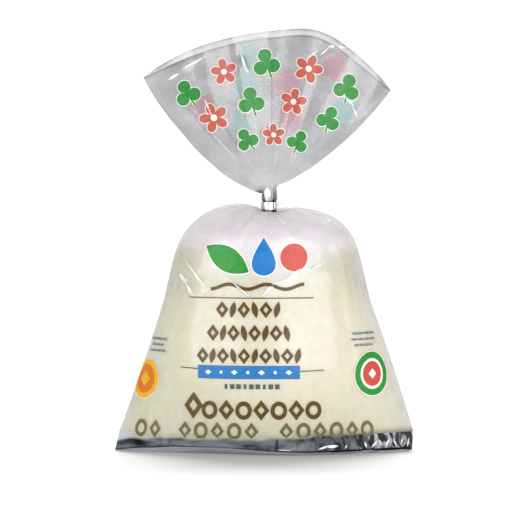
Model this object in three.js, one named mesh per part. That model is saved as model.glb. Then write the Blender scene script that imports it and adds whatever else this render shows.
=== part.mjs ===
// A buffalo mozzarella ball sold in its whey, in a clear film bag. Millimetres, +Z up.
// The bag stands on its flat base, is gathered at the neck by a crimped metal clip, and its
// tail spreads above the clip as a flat fan of film. The front faces -Y.
import * as THREE from "three";
import { mergeVertices } from "three/addons/utils/BufferGeometryUtils.js";

// ---------- driving dimensions ----------
const BASE_WIDTH = 157; // across the bag just above its bottom seal
const WAIST_WIDTH = 110.5; // across the bag where its sides turn steeper
const BODY_HEIGHT = 131; // floor to the top of the shoulders
const BELLY_DEPTH = 79; // front to back at the deepest level
const NECK_RADIUS = 3.7; // the gathered film just above the clip
const NECK_X = 2; // the neck stands a little right of the middle

const BASE = {
  footWidth: 152, // the flat patch that the bag stands on
  footDepth: 31, // half of it, front to back
  sealWidth: 161, // the bottom seal reaches past the panels at both corners
  sealFront: 35.5, // it stands out in front like a short skirt
  sealBack: 33,
  sealLift: 1.8, // its free edge curls up off the floor by this much
  pinch: 8.5, // height where the panels tuck in above the seal
  pinchFront: 33,
  pinchBack: 32.5,
  wave: 0.8,
};

const BODY = {
  bellyLevel: 46, // height of the deepest section
  waistLevel: 80,
  waistSlope: 0.235, // how fast each side comes in above the waist
  lean: 1.3, // the middle of the bag leans this far right
};

const SHOULDER = {
  start: 98,
  roundness: 3.1, // exponent of the rounded corner
  depth: 63,
  ridgeHalfWidth: 17, // the film rises to a ridge on each side and dips to the neck
  dip: 3.4,
  tilt: 1.3, // the left shoulder stands this much higher, the right one lower
  pleats: 9,
  pleatDepth: 1.1,
  pleatReach: 17,
};

const CLIP = {
  bottom: 128.7,
  height: 4.6,
  squeezed: 2.9, // radius of the film inside the clip
  gap: 0.32, // clear of the film all round
  wall: 1.2,
  bevel: 0.35,
  split: 16, // degrees left open between the two crimped ends
  splitAt: -62, // direction of the split, in degrees from +X
};

const TAIL = {
  root: 138, // height of the point that the fan spreads from
  rootX: 2.7,
  left: { rootAngle: 92, endAngle: 47.8, flare: 0.55 }, // angles from the vertical
  right: { rootAngle: 66, endAngle: 49.4, flare: 0.75 },
  mouth: [91.4, 87.6, 85.4, 86, 89.8, 86.5, 84], // length of the film, left to right
  halfDepth: 7.5,
  lipHalfDepth: 3,
  lipDrop: 3.5, // the front layer is cut this much lower than the back one
  wave: 3,
  pleats: 9,
  pleatDepth: 0.8,
};

// ---------- mesh fineness ----------
const ACROSS = 32; // segments across the front, and as many across the back
const BODY_ROWS = 13;
const SHOULDER_ROWS = 7;
const TAIL_ROWS = 15;
const CLIP_STEPS = 24;

const { lerp, smoothstep, clamp, degToRad } = THREE.MathUtils;

// ---------- skinning ----------
// A ring is a closed loop round the bag. place(s, side) gives its point at s = -1 (left edge)
// to +1 (right edge), on the front (side -1) or the back (side +1).
function ring(place) {
  const spots = Array.from({ length: ACROSS + 1 }, (_, i) => -Math.cos((Math.PI * i) / ACROSS));
  const front = spots.map((s) => place(s, -1));
  const back = spots.slice(1, -1).map((s) => place(s, 1));
  return [...front, ...back.reverse()];
}

// Skins the rings from the bottom up, and closes each end with a strip from front to back.
function loft(rings) {
  const count = rings[0].length;
  const triangles = [];
  const quad = (a, b, c, d) => triangles.push(a, b, c, a, c, d);
  for (let row = 0; row + 1 < rings.length; row++) {
    const low = row * count;
    for (let i = 0; i < count; i++) {
      const next = (i + 1) % count;
      quad(low + i, low + next, low + count + next, low + count + i);
    }
  }
  const close = (start, up) => {
    const behind = (j) => start + ((count - j) % count);
    for (let i = 0; i < ACROSS; i++) {
      const strip = [start + i, start + i + 1, behind(i + 1), behind(i)];
      quad(...(up ? strip : strip.reverse()));
    }
  };
  close(0, false);
  close((rings.length - 1) * count, true);
  return solidGeometry(rings.flat(), triangles);
}

// Shares the vertices and drops the triangles that collapse at the ends of a closing strip.
function solidGeometry(points, triangles) {
  const geometry = new THREE.BufferGeometry().setFromPoints(points);
  geometry.setIndex(triangles);
  const merged = mergeVertices(geometry, 1e-4);
  const index = merged.index.array;
  const kept = [];
  for (let i = 0; i < index.length; i += 3) {
    const [a, b, c] = index.slice(i, i + 3);
    if (a !== b && b !== c && c !== a) kept.push(a, b, c);
  }
  merged.setIndex(kept);
  merged.computeVertexNormals();
  return merged;
}

// ---------- the filled body ----------
// Half the bag's width: two straight stretches, from the base to the waist and on up.
function halfWidth(z) {
  const waist = WAIST_WIDTH / 2;
  if (z > BODY.waistLevel) return waist - BODY.waistSlope * (z - BODY.waistLevel);
  return lerp(BASE_WIDTH / 2, waist, (z - BASE.pinch) / (BODY.waistLevel - BASE.pinch));
}

// Half the bag's depth: the contents push the belly out between the base and the shoulders.
function halfDepth(z, side) {
  const low = side < 0 ? BASE.pinchFront : BASE.pinchBack;
  const belly = BELLY_DEPTH / 2;
  if (z > BODY.bellyLevel) {
    return lerp(belly, SHOULDER.depth / 2, smoothstep(z, BODY.bellyLevel, SHOULDER.start + 8));
  }
  const climb = (z - BASE.pinch) / (BODY.bellyLevel - BASE.pinch);
  return lerp(low, belly, Math.sin((climb * Math.PI) / 2));
}

// A section runs from its middle to its edges as a pointed lens low down, as an ellipse higher up.
function sectionPoint(z, width, depth, s, side) {
  const exponent = lerp(1.1, 0.5, smoothstep(z, -12, 82));
  const leaning = BODY.lean * Math.sin(Math.PI * clamp(z / SHOULDER.start, 0, 0.8));
  const y = side * depth * Math.pow(1 - s * s, exponent);
  return new THREE.Vector3(leaning + width * s, y, z);
}

// The foot, the free edge of the bottom seal, its middle, and the tuck above it.
function baseRings() {
  const foot = ring((s, side) => sectionPoint(0, BASE.footWidth / 2, BASE.footDepth, s, side));
  const edge = ring((s, side) => {
    const lift = BASE.sealLift * (1 - s * s) * (side < 0 ? 1 - 0.5 * s : 1);
    return sealPoint(0.3 + lift, BASE.sealWidth / 2, 1, s, side);
  });
  const middle = ring((s, side) => sealPoint(4.8, (BASE.sealWidth - 1.5) / 2, 0.6, s, side));
  return [foot, edge, middle];
}

// share tells how far the seal stands out from the tuck (0) to its free edge (1).
function sealPoint(z, width, share, s, side) {
  const front = lerp(BASE.pinchFront, BASE.sealFront, share);
  const back = lerp(BASE.pinchBack, BASE.sealBack, share);
  const crinkle = BASE.wave * share * Math.sin(15 * s + 1) * smoothstep(s, -0.9, 0.6);
  return sectionPoint(z, width, side < 0 ? front + crinkle : back, s, side);
}

function bodyRings() {
  return Array.from({ length: BODY_ROWS }, (_, i) => {
    const z = lerp(BASE.pinch, SHOULDER.start, i / (BODY_ROWS - 1));
    return ring((s, side) => sectionPoint(z, halfWidth(z), halfDepth(z, side), s, side));
  });
}

// ---------- the shoulders and the neck ----------
// Radial pleats that fan out from the neck over the shoulders.
function shoulderPleat(s, side, distance) {
  const phase = 2 * SHOULDER.pleats * Math.asin(s) + (side > 0 ? 1.3 : 0);
  return SHOULDER.pleatDepth * Math.cos(phase) * Math.exp(-((distance / SHOULDER.pleatReach) ** 2));
}

function shoulderRings() {
  const reach = BODY_HEIGHT - SHOULDER.start;
  const power = 2 / SHOULDER.roundness;
  const ridgeShare = SHOULDER.ridgeHalfWidth / halfWidth(BODY_HEIGHT);
  const ridgeTurn = Math.acos(Math.pow(ridgeShare, 1 / power));
  return Array.from({ length: SHOULDER_ROWS }, (_, i) => {
    const turn = (ridgeTurn * (i + 1)) / SHOULDER_ROWS;
    const rise = Math.pow(Math.sin(turn), power);
    const shrink = Math.pow(Math.cos(turn), power);
    const z = SHOULDER.start + reach * rise;
    return ring((s, side) => {
      const point = sectionPoint(z, halfWidth(z) * shrink, halfDepth(z, side) * shrink, s, side);
      point.x += (NECK_X - BODY.lean) * rise * rise;
      point.z += shoulderPleat(s, side, Math.hypot(point.x - NECK_X, point.y));
      point.z -= Math.pow(rise, 4) * shoulderDip(s);
      return point;
    });
  });
}

function shoulderDip(s) {
  return SHOULDER.tilt * s + SHOULDER.dip * (1 - Math.abs(s)) ** 2;
}

// From the ridge the film dips to the neck, runs up through the clip and swells above it.
function neckRings() {
  const foot = BODY_HEIGHT - SHOULDER.dip;
  const clipTop = CLIP.bottom + CLIP.height;
  const stations = [
    { radius: 10.5, z: BODY_HEIGHT - 1.6, dip: 0.9 },
    { radius: 6, z: foot - 0.6, dip: 0.4 },
    { radius: CLIP.squeezed + 0.3, z: foot, dip: 0 },
    { radius: CLIP.squeezed, z: CLIP.bottom, dip: 0 },
    { radius: CLIP.squeezed, z: clipTop, dip: 0 },
    { radius: NECK_RADIUS, z: clipTop + 1.4, dip: 0 },
  ];
  return stations.map(({ radius, z, dip }) =>
    ring((s, side) => {
      const y = side * radius * Math.sqrt(1 - s * s);
      return new THREE.Vector3(NECK_X + radius * s, y, z - dip * shoulderDip(s));
    }),
  );
}

// ---------- the tail ----------
const mouthCurve = new THREE.CatmullRomCurve3(
  TAIL.mouth.map((length, i) => new THREE.Vector3(i, length, 0)),
);

// Soft waves that grow towards the mouth, and tight pleats at the root.
function tailFold(s, t, length) {
  const soft = 0.6 * Math.sin(7.5 * s + 0.8) + 0.4 * Math.sin(13 * s + 2.2);
  const wave = TAIL.wave * smoothstep(t, 0.1, 0.9) * (1 - s ** 4) * soft;
  const tight = TAIL.pleatDepth * Math.cos(TAIL.pleats * Math.PI * s) * Math.exp(-length / 30);
  return wave + tight * smoothstep(t, 0, 0.12) * (1 - s * s);
}

// t runs from the neck (0) to the mouth (1). The film fans out along rays from the root.
function tailPoint(t, s, side) {
  const edge = s < 0 ? TAIL.left : TAIL.right;
  const spread = lerp(edge.rootAngle, edge.endAngle, Math.pow(t, edge.flare));
  const angle = s * degToRad(spread);
  const cut = side < 0 ? TAIL.lipDrop * (1 - s ** 6) : 0;
  const length = lerp(NECK_RADIUS + 0.3, mouthCurve.getPoint((s + 1) / 2).y - cut, t);
  const swell = lerp(NECK_RADIUS, TAIL.halfDepth, smoothstep(t, 0, 0.35));
  const depth = lerp(swell, TAIL.lipHalfDepth, smoothstep(t, 0.45, 1));
  const y = side * depth * Math.sqrt(1 - s * s) + tailFold(s, t, length);
  return new THREE.Vector3(TAIL.rootX + length * Math.sin(angle), y, TAIL.root + length * Math.cos(angle));
}

function tailRings() {
  return Array.from({ length: TAIL_ROWS }, (_, i) => {
    const t = Math.pow(i / (TAIL_ROWS - 1), 1.35);
    return ring((s, side) => tailPoint(t, s, side));
  });
}

// ---------- the two pieces ----------
function bag() {
  const rings = [...baseRings(), ...bodyRings(), ...shoulderRings(), ...neckRings(), ...tailRings()];
  const film = new THREE.MeshStandardMaterial({ color: 0xece8da, roughness: 0.25, metalness: 0 });
  const mesh = new THREE.Mesh(loft(rings), film);
  mesh.name = "bag";
  return mesh;
}

// A flat wire bent round the neck, with its two ends crimped towards each other.
function clip() {
  const inner = CLIP.squeezed + CLIP.gap;
  const outer = inner + CLIP.wall;
  const from = degToRad(CLIP.splitAt + CLIP.split / 2);
  const to = degToRad(CLIP.splitAt + 360 - CLIP.split / 2);
  const outline = new THREE.Shape();
  outline.absarc(0, 0, outer - CLIP.bevel, from, to, false);
  outline.absarc(0, 0, inner + CLIP.bevel, to, from, true);
  const geometry = new THREE.ExtrudeGeometry(outline, {
    depth: CLIP.height - 2 * CLIP.bevel,
    bevelSize: CLIP.bevel,
    bevelThickness: CLIP.bevel,
    bevelSegments: 1,
    curveSegments: CLIP_STEPS,
  });
  const aluminium = new THREE.MeshStandardMaterial({ color: 0xd4d6d8, roughness: 0.25, metalness: 1 });
  const mesh = new THREE.Mesh(geometry, aluminium);
  mesh.position.set(NECK_X, 0, CLIP.bottom + CLIP.bevel);
  mesh.name = "clip";
  return mesh;
}

// Puts the origin on the floor, under the middle of the part's box.
function onItsOrigin(group) {
  const box = new THREE.Box3().setFromObject(group, true);
  const middle = box.getCenter(new THREE.Vector3());
  group.position.set(-middle.x, -middle.y, -box.min.z);
  return group;
}

const baggedMozzarella = new THREE.Group();
baggedMozzarella.add(bag(), clip());

export default onItsOrigin(baggedMozzarella);
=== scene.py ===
"""A ball of buffalo mozzarella in its whey, sold in a clear printed film bag with a metal clip.

Laid out as an add-on, run as a script: one operator for each piece or group of like pieces.
Lengths are in metres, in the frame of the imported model. The front of the bag faces -Y.
"""

import math
import random
from functools import reduce
from typing import NamedTuple

import bmesh
import bpy
import numpy as np
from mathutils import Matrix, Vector
from mathutils.bvhtree import BVHTree
from mathutils.geometry import delaunay_2d_cdt


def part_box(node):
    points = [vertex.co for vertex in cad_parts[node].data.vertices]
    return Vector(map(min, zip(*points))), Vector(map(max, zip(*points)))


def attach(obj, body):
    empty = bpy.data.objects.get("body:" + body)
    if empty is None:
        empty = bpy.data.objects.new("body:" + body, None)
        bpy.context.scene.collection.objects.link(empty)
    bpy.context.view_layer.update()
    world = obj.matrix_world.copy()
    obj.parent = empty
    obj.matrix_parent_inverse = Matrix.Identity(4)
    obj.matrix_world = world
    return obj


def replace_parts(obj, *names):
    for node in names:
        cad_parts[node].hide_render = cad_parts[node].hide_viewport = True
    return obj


bl_info = {
    "name": "Bagged mozzarella",
    "version": (1, 0, 0),
    "blender": (4, 5, 0),
    "location": "View3D > Sidebar > Cheese",
    "description": "Builds a film bag of mozzarella in whey around its packed frame",
    "category": "Add Mesh",
}

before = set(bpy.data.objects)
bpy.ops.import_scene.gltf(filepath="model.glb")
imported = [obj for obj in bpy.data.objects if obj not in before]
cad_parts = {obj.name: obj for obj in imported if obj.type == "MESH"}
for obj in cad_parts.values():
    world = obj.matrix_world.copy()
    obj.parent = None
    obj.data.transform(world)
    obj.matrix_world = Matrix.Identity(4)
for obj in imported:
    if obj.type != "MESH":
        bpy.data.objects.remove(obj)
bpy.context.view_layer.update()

MM = 0.001
FRONT, BACK = -1, 1

COLUMNS = 176  # film cells across the front, and as many across the back
TAIL_COLUMNS = 200
SEAL_ROWS = 24  # film rows from the middle of the foot up to the top of the seal
FOOT_ROWS = SEAL_ROWS // 3  # the first of those, which are under the bag
PANEL_ROWS, SHOULDER_ROWS, FAN_ROWS = 112, 60, 120
PRINT_CELL = 0.8 * MM  # the ink follows the film's folds in cells of this size

# How far the print stands off the film, in millimetres: the ink, each further ink laid over it, the
# underprint and, on the film's other side, the ink that is seen through clear film.
INK_LIFT, OVER_LIFT, UNDER_LIFT, INNER_LIFT = 0.27, 0.07, 0.13, -0.1


# ---------------------------------------------------------------- sizes and colours


def srgb(code):
    """An sRGB hex colour as linear red, green, blue and alpha."""
    parts = [int(code[i : i + 2], 16) / 255 for i in (1, 3, 5)]
    linear = [p / 12.92 if p <= 0.04045 else ((p + 0.055) / 1.055) ** 2.4 for p in parts]
    return (*linear, 1.0)


def length_property(name, description, millimetres):
    return bpy.props.FloatProperty(
        name=name, description=description, default=millimetres * MM, unit="LENGTH", precision=4
    )


def colour_property(name, description, code):
    return bpy.props.FloatVectorProperty(
        name=name, description=description, default=srgb(code), size=4, subtype="COLOR", min=0, max=1
    )


class BagSizes(bpy.types.PropertyGroup):
    """The filled body of the bag, from its bottom seal to its clip."""

    base_width: length_property("Base width", "Across the bag just above its bottom seal", 157)
    waist_width: length_property("Waist width", "Across the bag where its sides turn steeper", 110.5)
    waist_level: length_property("Waist level", "Height where the sides turn steeper", 80)
    body_height: length_property("Body height", "Floor to the top of the shoulders", 131)
    shoulder_level: length_property("Shoulder level", "Height where the shoulders begin", 98)
    shoulder_depth: length_property("Shoulder depth", "Front to back at the shoulders", 63)
    belly_depth: length_property("Belly depth", "Front to back at the deepest level", 79)
    belly_level: length_property("Belly level", "Height of the deepest level", 46)
    foot_width: length_property("Foot width", "Across the flat patch it stands on", 152)
    foot_depth: length_property("Foot depth", "Front to back of the flat patch", 55)
    seal_width: length_property("Seal width", "Across the bottom seal, corner to corner", 161)
    seal_height: length_property("Seal height", "How far the bottom seal reaches up", 10.6)
    neck_x: length_property("Neck place", "How far right of the middle the neck stands", 2)
    clip_bottom: length_property("Clip level", "Height of the clip's lower edge", 128.7)
    clip_height: length_property("Clip height", "Length of neck that the clip holds", 4.6)
    squeezed: length_property("Squeezed radius", "Radius of the film inside the clip", 2.9)
    neck_radius: length_property("Neck radius", "Radius of the gathered film over the clip", 3.7)


class TailSizes(bpy.types.PropertyGroup):
    """The fan of film above the clip."""

    root_x: length_property("Root place", "Where the fan spreads from, right of the middle", 2.7)
    root_level: length_property("Root level", "Height that the fan spreads from", 138)
    depth: length_property("Depth", "Front to back of the fan where it is fullest", 15)
    mouth_gap: length_property("Mouth gap", "Between the two layers at the mouth", 6)
    lip_drop: length_property("Lip drop", "How much lower the front layer is cut", 3.5)
    wave: length_property("Wave", "Height of the soft waves at the mouth", 3)


class FillingSizes(bpy.types.PropertyGroup):
    """The whey and the ball of cheese in it."""

    whey_level: length_property("Whey level", "Height of the whey in the bag", 108)
    film_gap: length_property("Film gap", "Between the film's face and the whey", 0.3)
    ball_width: length_property("Ball width", "Across the ball", 86)
    ball_depth: length_property("Ball depth", "Front to back of the ball", 73)
    ball_height: length_property("Ball height", "Height of the ball, flattened by its weight", 75)


class PrintColours(bpy.types.PropertyGroup):
    """Inks on the film."""

    brown: colour_property("Brown", "Main ink of the front", "#5c4300")
    faded: colour_property("Faded brown", "The lowest row, thinly inked", "#736738")
    orange: colour_property("Orange", "Ring of the yellow seal", "#da7300")
    green: colour_property("Green", "Leaf and ring of the right seal", "#0a8c22")
    coral: colour_property("Coral", "Discs", "#cb4335")
    clover: colour_property("Clover green", "Clover leaves on the fan", "#1f8430")
    flower: colour_property("Flower red", "Flowers on the fan", "#b85344")
    blue: colour_property("Blue", "Drop", "#0572c2")
    band: colour_property("Band blue", "Band across the front", "#0073ba")
    yellow: colour_property("Yellow", "Left seal", "#ecb20e")
    slate: colour_property("Slate", "Dashes under the band", "#4d595b")
    pale: colour_property("Pale slate", "Small marks at the sides", "#788689")
    white: colour_property("White", "Underprint", "#f4f2ea")


class StageSettings(bpy.types.PropertyGroup):
    """Camera and light."""

    distance: bpy.props.FloatProperty(
        name="Distance", description="Camera to the bag", default=2.5, unit="LENGTH"
    )
    elevation: bpy.props.FloatProperty(
        name="Elevation", description="Camera above the horizon", default=math.radians(3), subtype="ANGLE"
    )
    field: length_property("Field", "Width that the picture shows at the bag", 273)
    aim_x: length_property("Aim across", "Middle of the picture, from the bag's middle", -5.1)
    aim_z: length_property("Aim height", "Height of the middle of the picture", 104.2)


# ---------------------------------------------------------------- small maths


def lerp(low, high, share):
    return low + (high - low) * share


def smooth(value, low, high):
    share = np.clip((value - low) / (high - low), 0.0, 1.0)
    return share * share * (3 - 2 * share)


def greatest(*values):
    return reduce(np.maximum, values)


def across(count):
    """Places from -1, the left edge, to 1, the right edge, closer together at the edges."""
    return -np.cos(np.linspace(0, np.pi, count + 1))


def points(x, y, z):
    return np.stack(np.broadcast_arrays(x, y, z), axis=-1).astype(float)


def padded(known):
    """The known values with one more at each end, in line with the last two."""
    return [2 * known[0] - known[1], *known, 2 * known[-1] - known[-2]]


def spline(a, b, c, d, share):
    """A value between b and c, on the smooth curve through a, b, c and d."""
    curve = 2 * b + (c - a) * share + (2 * a - 5 * b + 4 * c - d) * share**2
    return (curve + (3 * b - a - 3 * c + d) * share**3) / 2


def ring(place, count):
    """One closed loop round the bag: the front from left to right, then the back."""
    s = across(count)
    return np.concatenate([place(s, FRONT), place(s[1:-1], BACK)[::-1]])


def ring_places(count):
    """For each point of a ring, its place across the bag and the side it is on."""
    s = across(count)
    places = np.concatenate([s, s[1:-1][::-1]])
    sides = np.concatenate([np.full(count + 1, FRONT), np.full(count - 1, BACK)])
    return places, sides


# ---------------------------------------------------------------- the bag's form

NARROWING = 0.235  # what each side of the bag draws in by for each millimetre above the waist
LEAN = 1.3 * MM  # how far right the belly leans
ROUNDNESS = 3.1  # of the shoulders: 2 is an ellipse, and more is squarer
RIDGE = 17 * MM  # half the length of the shoulders' top, where the film is drawn in to the neck
# Half the depth in millimetres, just above the bottom seal and at the seal's free edge.
TUCK = {FRONT: 33, BACK: 32.5}
HEM = {FRONT: 35.5, BACK: 33}


def half_width(bag, z):
    waist = bag.waist_width / 2
    if z > bag.waist_level:
        return waist - NARROWING * (z - bag.waist_level)
    share = (z - bag.seal_height) / (bag.waist_level - bag.seal_height)
    return lerp(bag.base_width / 2, waist, share)


def half_depth(bag, z, side):
    belly = bag.belly_depth / 2
    if z > bag.belly_level:
        share = smooth(z, bag.belly_level, bag.shoulder_level + 8 * MM)
        return lerp(belly, bag.shoulder_depth / 2, share)
    climb = (z - bag.seal_height) / (bag.belly_level - bag.seal_height)
    return lerp(TUCK[side] * MM, belly, math.sin(climb * math.pi / 2))


def section(bag, z, width, depth, s, side):
    """Points of a level section: a pointed lens low down, an ellipse higher up."""
    level = float(np.mean(z))
    exponent = lerp(1.1, 0.5, smooth(level, -12 * MM, 82 * MM))
    leaning = LEAN * math.sin(math.pi * min(max(level / bag.shoulder_level, 0), 0.8))
    y = side * depth * np.power(np.clip(1 - s * s, 0, 1), exponent)
    return points(leaning + width * s, y, z)


# How far the bottom seal's free edge is lifted in front, and how far up the film is welded, which is as high
# as the seal's painted dark reaches.
HEM_LIFT = ((-1, -0.85, -0.6, -0.3, 0, 0.3, 0.7, 0.9, 1), (0.2, 2.2, 4.4, 4.2, 3.0, 1.6, 1.6, 1.2, 0.4))
WELD_TOP = ((-1, -0.93, -0.7, -0.33, 0, 0.2, 0.35, 0.5, 1), (5.8, 7.8, 8.8, 9.2, 9.3, 9.8, 11.4, 12, 12))


def seal_ring(bag, share):
    """The bottom seal, from its free edge (0) to the tuck above it (1). It is crimped and crinkled."""
    stands_out = 1 - share**1.3
    width = lerp(bag.seal_width, bag.base_width, share) / 2

    def place(s, side):
        lift = 1.8 * MM * (1 - s * s)
        if side == FRONT:
            lift = np.interp(s, *HEM_LIFT) * MM
        z = lerp(0.3 * MM + lift, bag.seal_height, share)
        depth = lerp(TUCK[side], HEM[side], stands_out) * MM
        puckers = 0.45 * np.sin(46 * s + 2.6 * np.sin(9 * s)) + 0.3 * np.sin(83 * s + 1.2)
        hem = stands_out * (0.8 * np.sin(15 * s + 1) * smooth(s, -0.9, 0.6))
        ripple = MM * (hem + puckers * math.sin(math.pi * min(share + 0.15, 1)) * smooth(s, -0.5, 0.5))
        p = section(bag, z, width, depth + ripple * (1 - s * s), s, side)
        p[..., 0] -= 2.3 * MM * (1 - share) * np.clip(s, 0, 1)
        return p

    return ring(place, COLUMNS)


def foot_ring(bag, share):
    """From the flat foot (0) out to the seal's free edge (1), underneath."""

    def place(s, side):
        tucked = 1 - (0.45 * np.exp(-(((s + 0.45) / 0.4) ** 2)) if side == FRONT else 0)
        return section(bag, 0.0, bag.foot_width / 2, bag.foot_depth / 2 * tucked, s, side)

    return lerp(ring(place, COLUMNS), seal_ring(bag, 0.0), share)


def body_ring(bag, z):
    def place(s, side):
        return section(bag, z, half_width(bag, z), half_depth(bag, z, side), s, side)

    return ring(place, COLUMNS)


def shoulder_dip(s):
    """The left shoulder stands higher, and the film dips to the neck between the two."""
    return (1.3 * s + 3.4 * (1 - np.abs(s)) ** 2) * MM


def shoulder_ring(bag, turn):
    power = 2 / ROUNDNESS
    rise = math.sin(turn) ** power
    shrink = math.cos(turn) ** power
    z = lerp(bag.shoulder_level, bag.body_height, rise)

    def place(s, side):
        p = section(bag, z, half_width(bag, z) * shrink, half_depth(bag, z, side) * shrink, s, side)
        p[..., 0] += (bag.neck_x - LEAN) * rise * rise
        p[..., 2] -= rise**4 * shoulder_dip(s)
        return p

    return ring(place, COLUMNS)


def last_shoulder_turn(bag):
    """How far the shoulders turn in before the film is gathered."""
    return math.acos((RIDGE / half_width(bag, bag.body_height)) ** (ROUNDNESS / 2))


def neck_ring(bag, radius, z, dip, count):
    def place(s, side):
        y = side * radius * np.sqrt(np.clip(1 - s * s, 0, 1))
        return points(bag.neck_x + radius * s, y, z - dip * shoulder_dip(s))

    return ring(place, count)


def between(rings):
    """Rings on a smooth curve through the given ones, with five steps from each to the next."""
    steps = 5
    near = padded(rings)
    made = []
    for a, b, c, d in zip(near, near[1:], near[2:], near[3:]):
        made += [spline(a, b, c, d, share) for share in np.arange(steps) / steps]
    return [*made, rings[-1]]


def body_grid(bag):
    """All the rings of the body, from its foot to the middle of the clip."""
    rows = [foot_ring(bag, share) for share in np.linspace(0, 1, FOOT_ROWS + 1)[:-1]]
    rows += [seal_ring(bag, share) for share in np.linspace(0, 1, SEAL_ROWS - FOOT_ROWS + 1)[:-1]]
    rows += [body_ring(bag, z) for z in np.linspace(bag.seal_height, bag.shoulder_level, PANEL_ROWS)[:-1]]
    last_turn = last_shoulder_turn(bag)
    rows += [shoulder_ring(bag, share**1.55 * last_turn) for share in np.linspace(0, 1, SHOULDER_ROWS)]
    foot = bag.body_height - 3.4 * MM
    stations = [
        rows[-1],
        neck_ring(bag, 10.5 * MM, bag.body_height - 1.6 * MM, 0.9, COLUMNS),
        neck_ring(bag, 6 * MM, foot - 0.6 * MM, 0.4, COLUMNS),
        neck_ring(bag, bag.squeezed + 0.3 * MM, foot, 0, COLUMNS),
        neck_ring(bag, bag.squeezed, bag.clip_bottom, 0, COLUMNS),
        neck_ring(bag, bag.squeezed, bag.clip_bottom + bag.clip_height / 2, 0, COLUMNS),
    ]
    rows += between(stations)[1:]
    return np.array(rows)


# Length of film above the neck, across the fan from left to right, and the angles of its edges.
MOUTH = (91.4, 87.6, 85.4, 86, 89.8, 86.5, 84)
LEFT_EDGE = ((0, 0.05, 0.1, 0.2, 0.35, 0.6, 1), (92, 84, 78, 71.5, 64, 56, 47.8))
RIGHT_EDGE = ((0, 0.02, 0.06, 0.1, 0.25, 0.6, 1), (50, 45, 54, 57.5, 58.5, 54.5, 49.4))


def mouth_length(s):
    """A smooth curve through the lengths in MOUTH."""
    known = np.array(padded(MOUTH))
    where = (s + 1) / 2 * (len(MOUTH) - 1)
    low = np.clip(where.astype(int), 0, len(MOUTH) - 2)
    return spline(*(known[low + i] for i in range(4)), where - low) * MM


def tail_grid(bag, tail):
    """The neck above the middle of the clip, then the fan up to its open mouth."""
    top = bag.clip_bottom + bag.clip_height
    neck = [
        neck_ring(bag, bag.squeezed, bag.clip_bottom + bag.clip_height / 2, 0, TAIL_COLUMNS),
        neck_ring(bag, bag.squeezed, top, 0, TAIL_COLUMNS),
        neck_ring(bag, bag.neck_radius, top + 1.4 * MM, 0, TAIL_COLUMNS),
        tail_ring(bag, tail, 0.0),
    ]
    rows = between(neck)[:-1]
    rows += [tail_ring(bag, tail, share**1.2) for share in np.linspace(0, 1, FAN_ROWS)]
    return np.array(rows)


def tail_ring(bag, tail, t):
    def place(s, side):
        angle = s * np.radians(np.where(s < 0, np.interp(t, *LEFT_EDGE), np.interp(t, *RIGHT_EDGE)))
        cut = tail.lip_drop * (1 - s**6) if side == FRONT else 0
        length = lerp(bag.neck_radius + 0.3 * MM, mouth_length(s) - cut, t)
        swell = lerp(bag.neck_radius, tail.depth / 2, smooth(t, 0, 0.35))
        depth = lerp(swell, tail.mouth_gap / 2, smooth(t, 0.45, 1))
        wave = 0.6 * np.sin(7.5 * s + 0.8) + 0.4 * np.sin(13 * s + 2.2)
        wave = tail.wave * smooth(t, 0.1, 0.9) * (1 - s**4) * wave
        tight = 0.8 * MM * np.cos(9 * np.pi * s) * np.exp(-length / (30 * MM))
        y = side * depth * np.sqrt(np.clip(1 - s * s, 0, 1)) + wave + tight * smooth(t, 0, 0.12) * (1 - s * s)
        return points(tail.root_x + length * np.sin(angle), y, tail.root_level + length * np.cos(angle))

    return ring(place, TAIL_COLUMNS)


# ---------------------------------------------------------------- folds in the film


def grid_normals(grid):
    """Outward normals of a grid of rings."""
    along = np.gradient(grid, axis=0)
    round_it = np.roll(grid, -1, axis=1) - np.roll(grid, 1, axis=1)
    normals = np.cross(round_it, along)
    return normals / np.maximum(np.linalg.norm(normals, axis=-1, keepdims=True), 1e-12)


def ridge(distance, width):
    """The section of a sharp fold in film: a crest that falls away evenly on both sides."""
    return np.exp(-np.sqrt(distance**2 + (0.35 * MM) ** 2) / width)


def crease(x, z, start, end, width):
    """A fold that runs from start to end as seen from the front, and dies out at both ends."""
    ax, az = start[0] * MM, start[1] * MM
    dx, dz = end[0] * MM - ax, end[1] * MM - az
    length = math.hypot(dx, dz)
    along = ((x - ax) * dx + (z - az) * dz) / length
    off = ((x - ax) * dz - (z - az) * dx) / length
    fade = smooth(along, -0.1 * length, 0.35 * length) * (1 - smooth(along, 0.6 * length, 1.1 * length))
    return ridge(off, width * MM) * fade


# Folds that the front shows: start, end, width and height in millimetres.
FRONT_FOLDS = (
    ((-44, 103), (-30, 86), 2.6, 0.9),
    ((-46, 94), (-38, 82), 2.2, 0.7),
    ((-24, 97), (-7, 81), 2.2, 0.6),
    ((-2, 83), (6, 92), 2.0, 0.6),
    ((6, 91), (20, 98), 2.2, 0.8),
    ((19, 97), (31, 100), 2.4, 0.8),
    ((31, 99), (40, 88), 2.6, 0.5),
    ((-4, 128), (-14, 114), 2.4, 0.9),
    ((4, 128), (18, 111), 2.4, 0.9),
    ((49, 96), (67, 30), 3.5, 0.7),
    ((39, 110), (44, 80), 1.3, 0.9),
    ((44, 104), (50, 72), 1.1, 0.9),
    ((48, 98), (55, 66), 1.0, 0.8),
    ((-47, 98), (-56, 66), 1.1, 0.8),
    ((-50, 88), (-68, 24), 3.5, 0.6),
    ((56, 60), (74, 14), 3.0, 0.5),
    ((-58, 52), (-74, 13), 3.0, 0.5),
)


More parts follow.
